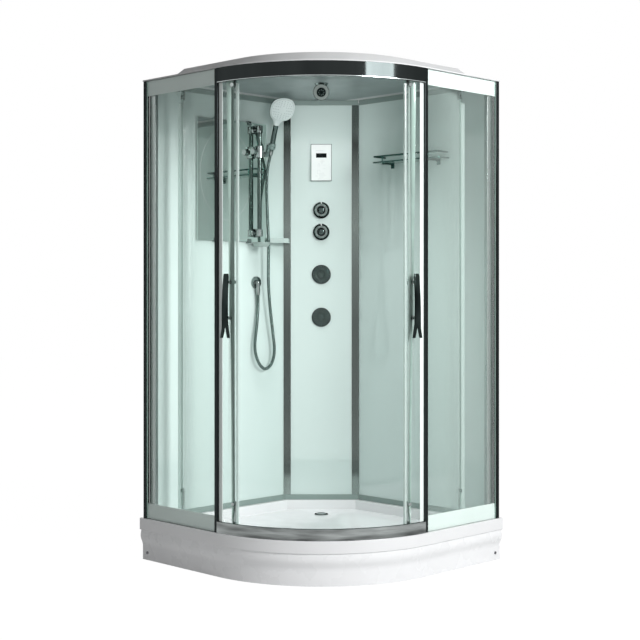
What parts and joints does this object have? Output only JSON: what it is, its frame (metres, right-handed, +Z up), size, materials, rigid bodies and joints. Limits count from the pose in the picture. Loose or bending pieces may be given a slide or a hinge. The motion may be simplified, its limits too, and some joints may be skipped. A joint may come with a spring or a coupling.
{
  "type": "corner shower cabin",
  "caption": "Corner shower cabin with a round front, curved sliding doors, a glass column with a hand shower and jets, a mirror, shelves, a deep tray and a domed roof.",
  "frame": {"origin": "on the floor under the middle of the tray's square, at the foot pad there", "axes": "+Z up; the wall corner is at -X and +Y; the left wall is the plane at -X, the right wall the one at +Y; the round front faces +X and -Y"},
  "size_m": [1.1066, 1.1066, 2.1],
  "materials": {
    "white_acrylic": "gloss",
    "apron_acrylic": "gloss",
    "screw_steel": "polished",
    "frame_steel": "satin",
    "zinc": "satin",
    "chrome": "polished",
    "trap_plastic": "matt",
    "back_glass": "gloss, painted pale green behind",
    "alu": "satin",
    "white_cover": "satin",
    "roof_white": "gloss",
    "ceiling_grey": "satin",
    "dark_chrome": "polished",
    "clear_glass": "gloss",
    "mirror_glass": "polished",
    "seal": "satin, translucent",
    "shelf_glass": "gloss",
    "shelf_white": "gloss",
    "hose_metal": "polished, ribbed",
    "panel_white": "satin",
    "brass": "satin",
    "copper": "satin",
    "spray_white": "satin",
    "roller_plastic": "matt",
    "knob_chrome": "polished"
  },
  "bodies": {
    "cabin": {"shower_tray": "white_acrylic", "apron": "apron_acrylic", "apron_screws": "screw_steel", "tray_frame": "frame_steel", "levelling_feet": "zinc", "drain_flange": "chrome", "drain_trap": "trap_plastic", "wall_panels": "back_glass", "column_panel": "back_glass", "column_profiles": "alu", "wall_trims": "alu", "roof": "roof_white", "ceiling_panel": "ceiling_grey", "posts": "dark_chrome", "post_strips": "alu", "post_seals": "white_cover", "upper_rail": "dark_chrome", "lower_rail": "dark_chrome", "rail_covers": "white_cover", "fixed_glass": "clear_glass", "wall_mirror": "mirror_glass", "mirror_clips": "chrome", "shelf_board": "shelf_glass", "shelf_gallery": "chrome", "corner_shelf": "shelf_white", "riser_bar": "chrome", "riser_brackets": "chrome", "soap_dish": "chrome", "outlet_elbow": "chrome", "shower_hose": "hose_metal", "elbow_nut": "chrome", "control_panel": "panel_white", "mixer_valve": "brass", "supply_pipes": "copper", "jet_rings": "knob_chrome", "overhead_mount": "chrome"},
    "left_door": {"left_door_glass": "clear_glass", "left_door_seals": "seal", "left_handle": "dark_chrome", "left_carriages": "chrome"},
    "right_door": {"right_door_glass": "clear_glass", "right_door_seals": "seal", "right_handle": "dark_chrome", "right_carriages": "chrome"},
    "left_lead_roller": {"left_lead_roller": "roller_plastic"},
    "left_trail_roller": {"left_trail_roller": "roller_plastic"},
    "right_lead_roller": {"right_lead_roller": "roller_plastic"},
    "right_trail_roller": {"right_trail_roller": "roller_plastic"},
    "slider": {"riser_slider": "chrome"},
    "slider_knob": {"slider_knob": "chrome"},
    "holder": {"handset_holder": "chrome", "hand_shower": "chrome", "spray_face": "spray_white", "handset_nut": "chrome"},
    "upper_knob": {"upper_knob": "knob_chrome"},
    "lower_knob": {"lower_knob": "knob_chrome"},
    "upper_jet": {"upper_jet": "knob_chrome"},
    "lower_jet": {"lower_jet": "knob_chrome"},
    "overhead": {"overhead_head": "chrome"},
    "drain_cover": {"drain_cover": "chrome"}
  },
  "joints": [
    {"name": "left_door_slide", "type": "hinge", "parent": "cabin", "child": "left_door", "pos_m": [-0.097, 0.143, 1.1], "axis": [0, 0, 1], "range_deg": [0, 30.2]},
    {"name": "right_door_slide", "type": "hinge", "parent": "cabin", "child": "right_door", "pos_m": [-0.143, 0.097, 1.1], "axis": [0, 0, -1], "range_deg": [0, 30.2]},
    {"name": "left_lead_roller_spin", "type": "hinge", "parent": "left_door", "child": "left_lead_roller", "pos_m": [0.01271, -0.51936, 2.025], "axis": [-0.2028, 0.9792, 0], "range_deg": [0, 1691]},
    {"name": "left_trail_roller_spin", "type": "hinge", "parent": "left_door", "child": "left_trail_roller", "pos_m": [-0.39447, -0.44975, 2.025], "axis": [0.5166, 0.8562, 0], "range_deg": [0, 1667]},
    {"name": "right_lead_roller_spin", "type": "hinge", "parent": "right_door", "child": "right_lead_roller", "pos_m": [0.51936, -0.01271, 2.025], "axis": [0.9792, -0.2028, 0], "range_deg": [0, 1691]},
    {"name": "right_trail_roller_spin", "type": "hinge", "parent": "right_door", "child": "right_trail_roller", "pos_m": [0.44975, 0.39447, 2.025], "axis": [0.8562, 0.5166, 0], "range_deg": [0, 1667]},
    {"name": "riser_slide", "type": "slide", "parent": "cabin", "child": "slider", "axis": [0, 0, 1], "range_m": [-0.32, 0.008], "deforming": ["shower_hose"]},
    {"name": "slider_knob_turn", "type": "hinge", "parent": "slider", "child": "slider_knob", "pos_m": [-0.464, 0.042, 1.785], "axis": [0, -1, 0], "range_deg": [0, 180]},
    {"name": "holder_tilt", "type": "hinge", "parent": "slider", "child": "holder", "pos_m": [-0.464, 0.132, 1.776], "axis": [0, 1, 0], "range_deg": [-5, 30]},
    {"name": "upper_knob_turn", "type": "hinge", "parent": "cabin", "child": "upper_knob", "pos_m": [-0.38016, 0.38016, 1.529], "axis": [0.7071, -0.7071, 0], "range_deg": [-90, 90]},
    {"name": "lower_knob_turn", "type": "hinge", "parent": "cabin", "child": "lower_knob", "pos_m": [-0.38016, 0.38016, 1.427], "axis": [0.7071, -0.7071, 0], "range_deg": [-90, 90]},
    {"name": "upper_jet_tilt", "type": "hinge", "parent": "cabin", "child": "upper_jet", "pos_m": [-0.38016, 0.38016, 1.228], "axis": [0.7071, 0.7071, 0], "range_deg": [-15, 15]},
    {"name": "lower_jet_tilt", "type": "hinge", "parent": "cabin", "child": "lower_jet", "pos_m": [-0.38016, 0.38016, 1.027], "axis": [0.7071, 0.7071, 0], "range_deg": [-15, 15]},
    {"name": "overhead_tilt", "type": "hinge", "parent": "cabin", "child": "overhead", "pos_m": [-0.03015, 0.03015, 2.014], "axis": [0.7071, 0.7071, 0], "range_deg": [-10, 70]},
    {"name": "drain_cover_lift", "type": "slide", "parent": "cabin", "child": "drain_cover", "axis": [0, 0, 1], "range_m": [0, 0.02]}
  ],
  "couplings": [
    {"joint": "left_lead_roller_spin", "follows": "left_door_slide", "ratio": 55.904},
    {"joint": "left_trail_roller_spin", "follows": "left_door_slide", "ratio": 55.1},
    {"joint": "right_lead_roller_spin", "follows": "right_door_slide", "ratio": 55.904},
    {"joint": "right_trail_roller_spin", "follows": "right_door_slide", "ratio": 55.1}
  ]
}
